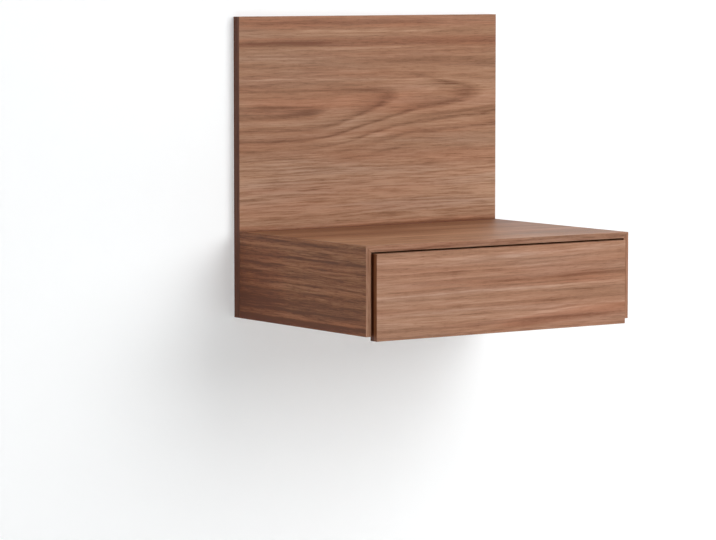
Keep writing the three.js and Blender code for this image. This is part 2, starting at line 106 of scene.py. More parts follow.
def ramp(tree, value, places, *shades):
    node = addNode(tree, "ShaderNodeValToRGB", {"Fac": value})
    elements = node.color_ramp.elements
    while len(elements) < len(shades):
        elements.new(0.5)
    for element, place, shade in zip(elements, places, shades):
        element.position = place
        element.color = (*shade, 1) if isinstance(shade, tuple) else (shade, shade, shade, 1)
    return node.outputs["Color"]


def mixColour(tree, factor, first, second, blend="MIX"):
    inputs = {0: factor, 6: first, 7: second}
    for key, value in inputs.items():
        if isinstance(value, tuple):
            inputs[key] = (*value, 1)
    return addNode(tree, "ShaderNodeMix", inputs, data_type="RGBA", blend_type=blend).outputs[2]


def objectPlace(tree):
    return addNode(tree, "ShaderNodeTexCoord").outputs["Object"]


def axesOf(tree, place):
    return addNode(tree, "ShaderNodeSeparateXYZ", {0: place}).outputs


# A plane's two axes in millimetres: along the grain and across it
def planeOf(tree, along, across):
    axes = axesOf(tree, objectPlace(tree))
    return calc(tree, "DIVIDE", axes[along], mm), calc(tree, "DIVIDE", axes[across], mm)


def noise(tree, vector, detail, roughness, scale=1.0):
    inputs = {"Vector": vector, "Scale": scale, "Detail": detail, "Roughness": roughness}
    return addNode(tree, "ShaderNodeTexNoise", inputs).outputs["Fac"]


# A kind of grain: length along, width across, what it adds to the seed, detail, roughness
def grain(tree, plane, kind, seed=0.0, longer=1.0, wider=1.0):
    length, width, step, detail, roughness = kind
    inputs = {
        "X": calc(tree, "DIVIDE", plane[0], length * longer),
        "Y": calc(tree, "DIVIDE", plane[1], width * wider),
        "Z": seed + step,
    }
    vector = addNode(tree, "ShaderNodeCombineXYZ", inputs).outputs[0]
    return noise(tree, vector, detail, roughness)


def finishSurface(tree, shader, colour, rough, height, bump, specular=0.5):
    strength, depth = bump
    relief = addNode(tree, "ShaderNodeBump", {"Height": height, "Strength": strength, "Distance": depth})
    tree.links.new(colour, shader.inputs["Base Color"])
    tree.links.new(rough, shader.inputs["Roughness"])
    tree.links.new(relief.outputs[0], shader.inputs["Normal"])
    shader.inputs["Specular IOR Level"].default_value = specular


# Most values of a noise lie in this span
noiseSpan = (0.3, 0.7)


# Walnut veneer: lengths along and across the grain are in millimetres

walnutLook = {
    "dark": (0.150, 0.055, 0.023),
    "middle": (0.300, 0.142, 0.075),
    "pale": (0.425, 0.228, 0.137),
    "broadWarp": (380, 90, 0, 1, 0.5),
    "broadWarpAmount": 12,
    "fineWarp": (120, 14, 1.3, 1, 0.5),
    "fineWarpAmount": 1.6,
    "band": (340, 12, 11, 2, 0.55),
    "bandAmount": 0.60,
    "streak": (75, 3.4, 13, 2, 0.6),
    "streakAmount": 0.95,
    "fibre": (40, 1.5, 17, 4, 0.68),
    "fibreAmount": 0.80,
    "fibreHeight": 0.5,
    "fleck": (16, 0.9, 19, 1, 0.5),
    "fleckSpan": (0.55, 0.75),
    "fleckAmount": 0.28,
    "pore": (5.5, 0.3, 23, 1, 0.5),
    "poreSpan": (0.62, 0.74),
    "poreAmount": 0.26,
    "red": (420, 30, 31, 2, 0.5),
    "redSpan": (0.42, 0.66),
    "redShare": 0.55,
    "redTint": (1.0, 0.8521, 0.8),
    "ashy": (300, 22, 37, 2, 0.5),
    "ashySpan": (0.45, 0.68),
    "ashyShare": 0.42,
    "ashyTint": (1.0167, 1.1831, 1.4),
    "streakFade": 90,
    "streakSwing": (0.3, 1.7),
    "rough": (0.32, 0.46),
    "specular": 0.2,
    "bump": (0.6, 0.06 * mm),
}

# What all growth rings share; the profile runs from one ring's start to the next
ringLook = {
    "gapPower": 1.25,
    "wander": (90, 14, 3.1, 2, 0.5),
    "wanderAmount": 0.35,
    "shift": -0.25,
    "profilePlaces": (0, 0.08, 0.4, 0.66, 0.87, 1),
    "profile": (0.5, 0.05, 0.15, 0.45, 1.0, 0.5),
    "level": 0.42,
    "perRing": (260, 1.3, 7.7, 1, 0.5),
    "perRingSpan": (0.32, 0.68),
}
straightRings = {"pith": -420, "core": 15, "firstGap": 30, "strength": (0.25, 1.5), "amount": 0.26}
# Nested arches: the pith line rises, the rings open from archStart on, and fade above the line and below it
archedRings = {
    "pith": 94,
    "core": 10,
    "firstGap": 24,
    "strength": (0.775, 1.29),
    "amount": 0.50,
    "rise": 31,
    "riseAlong": (-150, 120),
    "riseAcross": (-60, 80),
    "leastRise": 0.3,
    "archStart": -100,
    "archOpening": 8,
    "archRounding": 900,
    "squeeze": 1.6,
    "squeezeAlong": (60, 220),
    "fadeAbove": (14, 34),
    "fadeBelow": (-90, -45),
    "strengthBelow": 0.25,
}


def ringTone(tree, plane, rings, seed):
    look = ringLook
    along, across = plane
    offset = calc(tree, "SUBTRACT", across, rings["pith"])
    fades = []
    if "rise" in rings:
        rise = remap(tree, along, *rings["riseAlong"], 0, rings["rise"], smooth=True)
        share = remap(tree, across, *rings["riseAcross"], rings["leastRise"], 1, smooth=True)
        offset = calc(tree, "SUBTRACT", offset, product(tree, rise, share))
        squeeze = remap(tree, along, *rings["squeezeAlong"], 1, rings["squeeze"], smooth=True)
        upper = product(tree, calc(tree, "MAXIMUM", offset, 0), squeeze)
        width = total(tree, upper, calc(tree, "MINIMUM", offset, 0))
        opened = product(tree, calc(tree, "SUBTRACT", along, rings["archStart"]), rings["archOpening"])
        opened = calc(tree, "SMOOTH_MAX", opened, 0, rings["archRounding"])
        distance = calc(tree, "SQRT", total(tree, opened, product(tree, width, width)))
        fades.append(remap(tree, offset, *rings["fadeAbove"], 1, 0, smooth=True))
        fades.append(remap(tree, offset, *rings["fadeBelow"], rings["strengthBelow"], 1, smooth=True))
    else:
        distance = calc(tree, "ABSOLUTE", offset)
    outside = calc(tree, "MAXIMUM", calc(tree, "SUBTRACT", distance, rings["core"]), 0)
    count = calc(tree, "POWER", calc(tree, "DIVIDE", outside, rings["firstGap"]), look["gapPower"])
    wander = product(tree, grain(tree, plane, look["wander"], seed), look["wanderAmount"])
    count = total(tree, count, wander, look["shift"])
    profile = ramp(tree, calc(tree, "FRACT", count), look["profilePlaces"], *look["profile"])
    perRing = grain(tree, (along, count), look["perRing"], seed)
    strength = remap(tree, perRing, *look["perRingSpan"], *rings["strength"])
    return product(tree, calc(tree, "SUBTRACT", profile, look["level"]), strength, *fades)


def lineTone(tree, plane, streak, line):
    look = walnutLook
    along, across = plane
    centre, halfWidth, start, end, slope, tone = line
    middle = calc(tree, "MULTIPLY_ADD", calc(tree, "SUBTRACT", along, start), slope, centre)
    away = calc(tree, "DIVIDE", calc(tree, "SUBTRACT", across, middle), halfWidth)
    bell = calc(tree, "MAXIMUM", calc(tree, "SUBTRACT", 1, product(tree, away, away)), 0)
    begin = remap(tree, along, start, start + look["streakFade"], smooth=True)
    finish = remap(tree, along, end - look["streakFade"], end, 1, 0, smooth=True)
    swing = remap(tree, streak, *noiseSpan, *look["streakSwing"])
    return product(tree, bell, begin, finish, swing, tone)


# Axes are the grain's direction and the one across it; a painted gap shade sets in over its span across the grain
def walnut(name, axes, seed, rings=straightRings, streaks=(), reds=(), tint=(1, 1, 1), contrast=1.0,
           matt=0.0, coarse=1.0, stain=None):
    look = walnutLook
    material, tree, shader = newMaterial(name)
    flat = planeOf(tree, *axes)
    broadWarp = centred(tree, grain(tree, flat, look["broadWarp"], seed), look["broadWarpAmount"])
    fineWarp = centred(tree, grain(tree, flat, look["fineWarp"], seed), look["fineWarpAmount"])
    plane = (flat[0], total(tree, flat[1], broadWarp, fineWarp))
    band = grain(tree, plane, look["band"], seed, wider=coarse)
    streak = grain(tree, plane, look["streak"], seed, coarse, coarse)
    fibre = grain(tree, plane, look["fibre"], seed, coarse, coarse)
    flecks = remap(tree, grain(tree, plane, look["fleck"], seed), *look["fleckSpan"])
    pores = remap(tree, grain(tree, flat, look["pore"], seed), *look["poreSpan"])
    tone = total(
        tree,
        product(tree, ringTone(tree, plane, rings, seed), -rings["amount"]),
        centred(tree, band, look["bandAmount"]),
        centred(tree, streak, look["streakAmount"]),
        centred(tree, fibre, look["fibreAmount"]),
        product(tree, flecks, -look["fleckAmount"]),
        product(tree, pores, -look["poreAmount"]),
        *[lineTone(tree, plane, streak, line) for line in streaks],
    )
    tone = calc(tree, "MULTIPLY_ADD", tone, contrast, 0.5, clamp=True)
    shades = [tuple(map(math.prod, zip(look[key], tint))) for key in ("dark", "middle", "pale")]
    colour = ramp(tree, tone, (0, 0.5, 1), *shades)
    red = remap(tree, grain(tree, plane, look["red"], seed), *look["redSpan"], 0, look["redShare"])
    red = total(tree, red, *[lineTone(tree, plane, streak, line) for line in reds])
    colour = mixColour(tree, red, colour, look["redTint"], "MULTIPLY")
    ashy = remap(tree, grain(tree, plane, look["ashy"], seed), *look["ashySpan"], 0, look["ashyShare"])
    colour = mixColour(tree, ashy, colour, look["ashyTint"], "MULTIPLY")
    # painted shade: darkens the part of an edge that lies in the gap's shade
    if stain:
        gapShaded = remap(tree, flat[1], *stain["span"], smooth=True)
        colour = mixColour(tree, gapShaded, colour, stain["tint"], "MULTIPLY")
    rough = remap(tree, fibre, *noiseSpan, *[value + matt for value in look["rough"]])
    height = calc(tree, "SUBTRACT", product(tree, fibre, look["fibreHeight"]), pores)
    finishSurface(tree, shader, colour, rough, height, look["bump"], look["specular"])
    return material


# Lines that stand out, mostly grain, some painted shade and painted light: centre across, half width, start and
# end along, slope, tone or red added
panelStreaksAndPaintedLight = [
    (212, 3.2, -420, -60, 0, -0.34),
    (208, 2, -400, 20, 0, -0.2),
    (215, 9, -300, 375, 0, -0.2),
    (246, 5, -300, 180, 0, -0.16),
    (233, 2.8, -190, 160, -0.01, 0.32),
    (203, 2.4, -130, 160, 0, 0.3),
    (180, 9, -190, 330, 0, -0.14),
    (131, 2.6, -330, 70, -0.01, -0.26),
    (137, 2, 80, 245, -0.01, -0.34),
    (150, 2, -330, 250, -0.01, 0.24),
    (74, 4, 40, 330, 0.09, -0.3),
    (38, 5, -160, 120, 0.05, 0.22),
    # painted light: a broad paler band low on the panel lifts the shade above the shelf; the veneer is partly
    # paler there too
    (-50, 78, -900, 900, 0, 0.34),
    (93, 7, -215, -60, 0, -0.26),
    # painted shadow: a dark line along the panel's joint with the shelf
    (-110, 6, -400, 400, 0, -0.55),
]
panelRedsAndPaintedShade = [
    (246, 13, -500, 500, 0, 0.7),
    (214, 9, -500, 500, 0, 0.7),
    (100, 34, -300, 150, 0.05, 0.5),
    # painted shadow: reddens the dark line along the panel's joint with the shelf
    (-107, 9, -500, 500, 0, 0.7),
]
frontStreaks = [
    (-134, 7, -380, 380, 0, 0.2),
    (-151, 3, -340, 200, 0, -0.18),
    (-179, 9, -220, 330, 0, -0.2),
    (-194, 2.8, -380, 380, 0, 0.26),
    (-178, 3.2, 70, 330, 0, -0.3),
    (-180, 2.6, -90, 90, 0, -0.26),
    (-214, 6, 0, 190, 0, -0.22),
    (-211, 9, 90, 420, 0, -0.2),
    (-236, 10, -420, 330, 0, 0.14),
    (-241, 2.6, 10, 210, 0.05, 0.36),
    (-251, 3, -330, 30, 0, -0.2),
    (-257, 8, -30, 360, 0.06, -0.3),
]
frontReds = [
    (-181, 14, -260, 260, 0, 0.4),
    (-257, 10, -40, 380, 0.06, 1),
]
topStreaksAndPaintedLight = [
    # painted shadow: the shelf darkens in a strip along the panel
    (-18, 18, -500, 500, 0, -0.34),
    # painted shade: the shelf's rear part darker, near the panel
    (-66, 54, -330, 330, 0, -0.24),
    (-120, 16, -300, 330, 0, 0.08),
    (-160, 100, -500, 60, 0, -0.08),
    (-175, 12, -400, 250, 0, -0.1),
    # painted light: the shelf's front part lighter, mostly towards the left
    (-325, 140, -560, 160, 0, 0.19),
    (-262, 22, -200, 420, 0, 0.2),
    (-318, 14, -400, 300, 0, -0.14),
    (-388, 22, -500, 500, 0, 0.12),
]
# painted shadow: reddens the shelf's dark strip along the panel
topPaintedShadeReds = [(-18, 18, -500, 500, 0, 0.8)]
sideStreaksAndPaintedShade = [
    (-119, 3, -560, 200, 0, -0.12),
    (-133, 5, -560, -30, 0.012, 0.2),
    (-147, 3, -480, -90, 0.012, -0.14),
    (-163, 3.5, -600, -130, 0.01, 0.16),
    (-192, 3, -540, -60, 0, 0.14),
    (-224, 14, -540, 200, 0, -0.12),
    (-253, 6, -560, 200, 0, -0.2),
    # painted shade: the side darker towards the rear, by the panel
    (-215, 90, -170, 300, 0, -0.14),
]
sideRedsAndPaintedShade = [
    (-247, 15, -560, 200, 0, 1),
    # painted shade: warms the side's darker rear part
    (-200, 100, -190, 300, 0, 0.9),
]

veneers = {
    "walnutPanelFace": {"axes": "XZ", "seed": 2, "rings": archedRings, "tint": (1.04, 1.10, 1.14),
                        "streaks": panelStreaksAndPaintedLight, "reds": panelRedsAndPaintedShade},
    "walnutFrontFace": {"axes": "XZ", "seed": 41, "tint": (1.08, 1.17, 1.31), "contrast": 0.85,
                        "streaks": frontStreaks, "reds": frontReds},
    "walnutTopFace": {"axes": "XY", "seed": 61, "tint": (1.02, 0.97, 0.88), "contrast": 1.35,
                      "matt": 0.08, "coarse": 2.2, "streaks": topStreaksAndPaintedLight, "reds": topPaintedShadeReds},
    # painted shade: the side veneer's warmer, darker tint stands in for the warm shade on the box's sides
    "walnutSideFace": {"axes": "YZ", "seed": 83, "tint": (1.02, 0.82, 0.60), "contrast": 2.3,
                       "streaks": sideStreaksAndPaintedShade, "reds": sideRedsAndPaintedShade},
    "walnutBandUpright": {"axes": "ZX", "seed": 101, "tint": (0.99, 1.04, 1.13), "contrast": 1.3},
    "walnutBandAcross": {"axes": "XZ", "seed": 113, "tint": (0.99, 1.04, 1.13), "contrast": 1.3},
    # painted shade: the panel's edges are tinted much darker for the shade on the edge beside the wall
    "walnutPanelEdge": {"axes": "ZY", "seed": 127, "tint": (0.50, 0.33, 0.29)},
    # Painted shade: the drawer front's upright edges get a warmer, darker tint, and are darkened more from just
    # before the box's front edges inwards, where they lie in the gap's shade
    "walnutDrawerEdge": {"axes": "ZY", "seed": 133, "tint": (1.04, 0.84, 0.68),
                         "stain": {"span": (-400.5, -398.5), "tint": (0.32, 0.20, 0.12)}},
    "walnutBandLying": {"axes": "XY", "seed": 131},
    "walnutBackFace": {"axes": "XZ", "seed": 151, "tint": (0.9, 0.9, 0.9)},
    "walnutBandBelow": {"axes": "YX", "seed": 167},
}
finishes = {name: walnut(name, **look) for name, look in veneers.items()}
print("veneers ready")


# Birch plywood of the drawer box: faces, and edges that show their layers

birchLook = {
    "pale": (0.70, 0.545, 0.365),
    "dark": (0.56, 0.405, 0.245),
    "flow": (260, 60, 0, 1, 0.5),
    "flowAmount": 34,
    "band": (300, 11, 2, 2, 0.5),
    "bandAmount": 0.9,
    "fibre": (34, 0.9, 4, 3, 0.5),
    "fibreAmount": 0.5,
    "fleck": (4, 0.35, 6, 1, 0.5),
    "fleckSpan": (0.66, 0.74),
    "fleckAmount": 0.35,
    "toneShift": -0.25,
    "toneSpan": (0.2, 0.75),
    "rough": (0.42, 0.58),
    "specular": 0.35,
    "bump": (0.4, 0.05 * mm),
}
birchEdgeLook = {
    "layers": 9,
    "glue": (0.20, 0.12, 0.065),
    "glueShare": 0.06,
    "endGrain": (0.40, 0.27, 0.155),
    "ripple": (40, 6, 0, 1, 0.5),
    "rippleAmount": 0.25,
    "fibre": (14, 0.35, 3, 2, 0.5),
    "fibreSpan": (0.3, 0.65),
    "end": (0.5, 0.4, 5, 2, 0.5),
    "lyingRelief": 0.3,
    "rough": (0.5, 0.7),
    "specular": 0.3,
    "bump": (0.5, 0.05 * mm),
}


def birchFace(name, along, across, seed):
    look = birchLook
    material, tree, shader = newMaterial(name)
    flat = planeOf(tree, along, across)
    flow = product(tree, grain(tree, flat, look["flow"], seed), look["flowAmount"])
    plane = (flat[0], total(tree, flat[1], flow))
    bands = grain(tree, plane, look["band"], seed)
    fibres = grain(tree, plane, look["fibre"], seed)
    flecks = remap(tree, grain(tree, flat, look["fleck"], seed), *look["fleckSpan"])
    tone = total(
        tree,
        product(tree, bands, look["bandAmount"]),
        product(tree, fibres, look["fibreAmount"]),
        product(tree, flecks, look["fleckAmount"]),
        look["toneShift"],
    )
    colour = ramp(tree, tone, look["toneSpan"], look["pale"], look["dark"])
    rough = remap(tree, fibres, *noiseSpan, *look["rough"])
    finishSurface(tree, shader, colour, rough, fibres, look["bump"], look["specular"])
    return material


# Layers are counted from low to high; every second one shows its end grain
def birchEdge(name, along, across, low, high, seed):
    look = birchEdgeLook
    pale, dark = birchLook["pale"], birchLook["dark"]
    material, tree, shader = newMaterial(name)
    alongMm, acrossMm = planeOf(tree, along, across)
    plane = (alongMm, calc(tree, "SUBTRACT", acrossMm, low / mm))
    ripple = product(tree, grain(tree, plane, look["ripple"], seed), look["rippleAmount"])
    layer = calc(tree, "DIVIDE", total(tree, plane[1], ripple), (high - low) / mm / look["layers"])
    crossing = calc(tree, "MODULO", calc(tree, "FLOOR", total(tree, layer, 2)), 2)
    fibres = grain(tree, plane, look["fibre"], seed)
    ends = grain(tree, plane, look["end"], seed)
    lengthways = ramp(tree, fibres, look["fibreSpan"], dark, pale)
    endways = ramp(tree, ends, noiseSpan, look["endGrain"], dark)
    glue = calc(tree, "LESS_THAN", calc(tree, "FRACT", layer), look["glueShare"])
    colour = mixColour(tree, glue, mixColour(tree, crossing, lengthways, endways), look["glue"])
    rough = remap(tree, ends, *noiseSpan, *look["rough"])
    relief = product(tree, ends, total(tree, crossing, look["lyingRelief"]))
    height = calc(tree, "SUBTRACT", relief, glue)
    finishSurface(tree, shader, colour, rough, height, look["bump"], look["specular"])
    return material


# The board's core, bare where the pocket for the cleats is milled into the panel's back

coreLook = {
    "dark": (0.27, 0.17, 0.095),
    "pale": (0.43, 0.295, 0.18),
    "flake": (2.2, 0.9, 5, 3, 0.6),
    "flakeShare": 0.7,
    "cloud": (40, 40, 8, 2, 0.5),
    "rough": (0.65, 0.85),
    "specular": 0.25,
    "bump": (0.5, 0.08 * mm),
}


def coreBoard(name):
    look = coreLook
    material, tree, shader = newMaterial(name)
    plane = planeOf(tree, "X", "Z")
    flakes = grain(tree, plane, look["flake"])
    cloud = grain(tree, plane, look["cloud"])
    tone = blended(tree, cloud, flakes, look["flakeShare"])
    colour = ramp(tree, tone, noiseSpan, look["dark"], look["pale"])
    rough = remap(tree, flakes, *noiseSpan, *look["rough"])
    finishSurface(tree, shader, colour, rough, flakes, look["bump"], look["specular"])
    return material


# Metals: a mottled plating or a drawn surface with fine lines along the first of two axes

metalLooks = {
    "zincSteel": {"pale": (0.50, 0.52, 0.545), "dark": (0.33, 0.345, 0.37), "mottle": 3.0 * mm,
                  "axes": "YZ", "line": (60, 0.5, 4, 2, 0.5), "lineShare": 0.35, "rough": (0.24, 0.42)},
    "cageSteel": {"pale": (0.42, 0.42, 0.425), "dark": (0.28, 0.28, 0.29), "mottle": 2.0 * mm,
                  "axes": "YZ", "line": (30, 0.4, 4, 2, 0.5), "lineShare": 0.5, "rough": (0.28, 0.45)},
    "ballSteel": {"pale": (0.62, 0.62, 0.62), "dark": (0.52, 0.52, 0.53), "mottle": 0.8 * mm,
                  "axes": "YZ", "line": (2, 0.5, 4, 2, 0.5), "lineShare": 0.3, "rough": (0.08, 0.16)},
    "millAluminium": {"pale": (0.58, 0.585, 0.595), "dark": (0.43, 0.435, 0.445), "mottle": 12.0 * mm,
                      "axes": "XZ", "line": (220, 0.35, 4, 2, 0.5), "lineShare": 0.75, "rough": (0.30, 0.48)},
    "screwZinc": {"pale": (0.50, 0.50, 0.475), "dark": (0.30, 0.30, 0.285), "mottle": 1.1 * mm,
                  "axes": "YX", "line": (1, 0.4, 4, 2, 0.5), "lineShare": 0.3, "rough": (0.25, 0.42)},
}
plasticLooks = {
    "leverPlastic": {"pale": (0.045, 0.045, 0.047), "dark": (0.028, 0.028, 0.03), "mottle": 0.25 * mm,
                     "rough": (0.38, 0.55), "soft": 0.0},
    "bumperRubber": {"pale": (0.78, 0.77, 0.74), "dark": (0.70, 0.69, 0.66), "mottle": 0.6 * mm,
                     "rough": (0.3, 0.42), "soft": 0.25},
}
metalBump = (0.25, 0.03 * mm)
plasticBump = (0.4, 0.03 * mm)
plasticDepth = 1.0 * mm
toneSpan = (0.35, 0.65)


def speckle(tree, size):
    return noise(tree, objectPlace(tree), detail=3.0, roughness=0.6, scale=1 / size)


def metal(name, look):
    material, tree, shader = newMaterial(name)
    plating = speckle(tree, look["mottle"])
    lines = grain(tree, planeOf(tree, *look["axes"]), look["line"])
    tone = blended(tree, plating, lines, look["lineShare"])
    colour = ramp(tree, tone, toneSpan, look["dark"], look["pale"])
    rough = remap(tree, tone, *toneSpan, *reversed(look["rough"]))
    finishSurface(tree, shader, colour, rough, tone, metalBump)
    shader.inputs["Metallic"].default_value = 1.0
    return material


def mouldedPlastic(name, look):
    material, tree, shader = newMaterial(name)
    tone = speckle(tree, look["mottle"])
    colour = ramp(tree, tone, toneSpan, look["dark"], look["pale"])
    rough = remap(tree, tone, *noiseSpan, *look["rough"])
    finishSurface(tree, shader, colour, rough, tone, plasticBump)
    shader.inputs["Subsurface Weight"].default_value = look["soft"]
    shader.inputs["Subsurface Scale"].default_value = plasticDepth
    return material


finishes.update({name: metal(name, look) for name, look in metalLooks.items()})
finishes.update({name: mouldedPlastic(name, look) for name, look in plasticLooks.items()})
finishes["panelCore"] = coreBoard("panelCore")
print("finishes ready")


# Meshes

bodyOf = {node: body for body, nodes in record["behaviour"]["bodies"].items() for node in nodes}
jointNamed = {joint["name"]: joint for joint in frame["joints"]}
weldDistance = 1e-6
# Angle between two faces: merged into one below the first, rounded above the second, sharp above the third
sameFace, roundedFrom, sharpFrom = [math.radians(angle) for angle in (0.5, 25, 32)]
straightNormal = 0.9999  # a face that looks straight along an axis is shaded flat
roundSides = 32
slotSides = 24


def mergedCopy(node):
    mesh = bmesh.new()
    mesh.from_mesh(frame["nodes"][node].data)
    bmesh.ops.remove_doubles(mesh, verts=mesh.verts, dist=weldDistance)
    bmesh.ops.dissolve_limit(mesh, angle_limit=sameFace, verts=mesh.verts, edges=mesh.edges)
    return mesh


def bevel(mesh, edges, width, segments=2, clamp=False):
    bmesh.ops.bevel(
        mesh, geom=edges, offset=width, offset_type="OFFSET", affect="EDGES", segments=segments,
        profile=0.5, material=-1, clamp_overlap=clamp,
    )


def roundEdges(mesh, width, shortest):
    edges = [
        edge for edge in mesh.edges
        if len(edge.link_faces) == 2
        and edge.calc_face_angle_signed(0) > roundedFrom
        and edge.calc_length() > shortest
    ]
    bevel(mesh, edges, width, clamp=True)


def softenShading(mesh):
    mesh.normal_update()
    for face in mesh.faces:
        face.smooth = max(abs(value) for value in face.normal) < straightNormal
    for edge in mesh.edges:
        edge.smooth = len(edge.link_faces) == 2 and edge.calc_face_angle(math.pi) < sharpFrom


# Material 0 on faces that look along X, 1 along Y, 2 along Z
def paintByDirection(mesh):
    for face in mesh.faces:
        size = [abs(value) for value in face.normal]
        face.material_index = size.index(max(size))


def meshObject(name, mesh, materials=()):
    data = bpy.data.meshes.new(name)
    mesh.to_mesh(data)
    mesh.free()
    for material in materials:
        data.materials.append(material)
    thing = bpy.data.objects.new(name, data)
    scene.collection.objects.link(thing)
    return thing


def pieceName(node):
    first, *others = node.split("_")
    return first + "".join(word.capitalize() for word in others)


def addPiece(node, mesh, materials, name=None):
    softenShading(mesh)
    piece = meshObject(name or pieceName(node), mesh, materials)
    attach(piece, bodyOf[node])
    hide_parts(node)


def centreOf(node):
    low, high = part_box(node)
    return (low + high) / 2


# Walnut boards: what is rounded off their edges, and their veneers on faces that look along X, Y and Z

boards = {
    "backPanel": {"node": "back_panel", "edge": 0.5 * mm,
                  "faces": ("walnutPanelEdge", "walnutPanelFace", "walnutBandLying")},
    "shelfBoard": {"node": "top_board", "edge": 0.3 * mm,
                   "faces": ("walnutSideFace", "walnutBandAcross", "walnutTopFace")},
    "sideBoardLeft": {"node": "side_left", "edge": 0.3 * mm,
                      "faces": ("walnutSideFace", "walnutBandUpright", "walnutBandBelow")},
    "sideBoardRight": {"node": "side_right", "edge": 0.3 * mm,
                       "faces": ("walnutSideFace", "walnutBandUpright", "walnutBandBelow")},
    "drawerFront": {"node": "drawer_front", "edge": 0.35 * mm,
                    "faces": ("walnutDrawerEdge", "walnutFrontFace", "walnutBandLying")},
    "floorBoard": {"node": "bottom_board", "edge": 0.3 * mm,
                   "faces": ("walnutSideFace", "walnutBandAcross", "walnutTopFace")},
    "innerBackBoard": {"node": "inner_back", "edge": 0.3 * mm,
                       "faces": ("walnutSideFace", "walnutBackFace", "walnutTopFace")},
}
shortestBoardEdge = 12 * mm
# The panel's materials 3 and 4: its rear face, and its pocket, whose faces lie between two depths
panelRear = {"faces": ("walnutBackFace", "panelCore"), "lookingBack": 0.5, "depths": (0.2 * mm, 6.5 * mm),
             "pocketReach": 0.25}


def paintRear(mesh):
    shallow, deep = panelRear["depths"]
    reach = panelRear["pocketReach"]
    for face in mesh.faces:
        spot = face.calc_center_median()
        if face.normal.y > panelRear["lookingBack"]:
            face.material_index = 3
        if shallow < -spot.y < deep and abs(spot.x) < reach and spot.z < reach:
            face.material_index = 4


for name, look in boards.items():
    mesh = mergedCopy(look["node"])
    roundEdges(mesh, look["edge"], shortestBoardEdge)
    paintByDirection(mesh)
    faces = look["faces"]
    if name == "backPanel":
        paintRear(mesh)
        faces += panelRear["faces"]
    addPiece(look["node"], mesh, [finishes[face] for face in faces], name)
print("walnut boards ready")


# Drawer box of birch plywood: which way each board's thickness and its face grain run

plyBoards = {
    "drawerSideLeft": {"node": "drawer_side_left", "thickness": "X", "grain": "Y", "edge": 0.6 * mm},
    "drawerSideRight": {"node": "drawer_side_right", "thickness": "X", "grain": "Y", "edge": 0.6 * mm},
    "drawerSubfront": {"node": "drawer_subfront", "thickness": "Y", "grain": "X", "edge": 0.6 * mm},
    "drawerBackBoard": {"node": "drawer_back", "thickness": "Y", "grain": "X", "edge": 0.6 * mm},
    "drawerFloor": {"node": "drawer_bottom", "thickness": "Z", "grain": "X", "edge": 0.2 * mm},
}
shortestPlyEdge = 30 * mm
plySeeds = {"face": 3, "edge": 5, "step": 7}
splineLook = {"edge": 0.3 * mm, "shortestEdge": 5 * mm, "seed": 61}


def otherAxis(first, second):
    return next(axis for axis in "XYZ" if axis not in (first, second))


for place, (name, look) in enumerate(plyBoards.items()):
    mesh = mergedCopy(look["node"])
    roundEdges(mesh, look["edge"], shortestPlyEdge)
    paintByDirection(mesh)
    through = look["thickness"]
    seed = place * plySeeds["step"]
    low, high = [corner["XYZ".index(through)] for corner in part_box(look["node"])]
    materials = []
    for axis in "XYZ":
        if axis == through:
            across = otherAxis(through, look["grain"])
            materials.append(birchFace(name + "Face", look["grain"], across, seed + plySeeds["face"]))
        else:
            along = otherAxis(through, axis)
            edgeSeed = seed + plySeeds["edge"]
            materials.append(birchEdge(f"{name}Edge{axis}", along, through, low, high, edgeSeed))
    addPiece(look["node"], mesh, materials, name)

for hand in ("left", "right"):
    node = f"mitre_spline_{hand}"
    mesh = mergedCopy(node)
    roundEdges(mesh, splineLook["edge"], splineLook["shortestEdge"])
    addPiece(node, mesh, [birchFace(pieceName(node) + "Face", "Y", "X", splineLook["seed"])])
print("drawer box and splines ready")


# Cutting, joining and turning

def carve(base, tool, operation="DIFFERENCE"):
    things = [meshObject("carving", mesh) for mesh in (base, tool)]
    change = things[0].modifiers.new("carving", "BOOLEAN")
    change.operation = operation
    change.solver = "EXACT"
    change.object = things[1]
    graph = bpy.context.evaluated_depsgraph_get()
    result = bmesh.new()
    result.from_mesh(things[0].evaluated_get(graph).data)
    for thing in things:
        data = thing.data
        bpy.data.objects.remove(thing)
        bpy.data.meshes.remove(data)
    return result


def addRound(mesh, centre, axis, radius, length, sides=roundSides):
    turn = Vector((0, 0, 1)).rotation_difference(Vector(axis)).to_matrix().to_4x4()
    matrix = Matrix.Translation(Vector(centre) + Vector(axis) * length / 2) @ turn
    bmesh.ops.create_cone(
        mesh, cap_ends=True, cap_tris=False, segments=sides, radius1=radius, radius2=radius,
        depth=length, matrix=matrix,
    )


def addSlot(mesh, centre, axis, radius, stretch, length):
    start = len(mesh.verts)
    turn = Matrix.Rotation(math.pi / slotSides, 3, axis)
    addRound(mesh, centre, axis, radius, length, slotSides)
    mesh.verts.ensure_lookup_table()
    for vertex in mesh.verts[start:]:
        away = turn @ (vertex.co - centre)
        side = 1 if away.dot(stretch) > 0 else -1
        vertex.co = centre + away + stretch * side


# An outline of radii and places along Y, turned about the line along Y through the middle
def turned(outline, middle, sides):
    mesh = bmesh.new()
    verts = [mesh.verts.new((middle.x + radius, y, middle.z)) for radius, y in outline]
    edges = [mesh.edges.new(pair) for pair in zip(verts, verts[1:])]
    bmesh.ops.spin(
        mesh, geom=verts + edges, cent=middle, axis=(0, 1, 0), dvec=(0, 0, 0), angle=math.tau,
        steps=sides, use_merge=True, use_duplicate=False,
    )
    bmesh.ops.remove_doubles(mesh, verts=mesh.verts, dist=weldDistance)
    bmesh.ops.recalc_face_normals(mesh, faces=mesh.faces)
    return mesh


def quarterTurn(steps):
    return [math.pi / 2 * n / steps for n in range(steps + 1)]


# Screws: turned profile, helical thread, cross recess

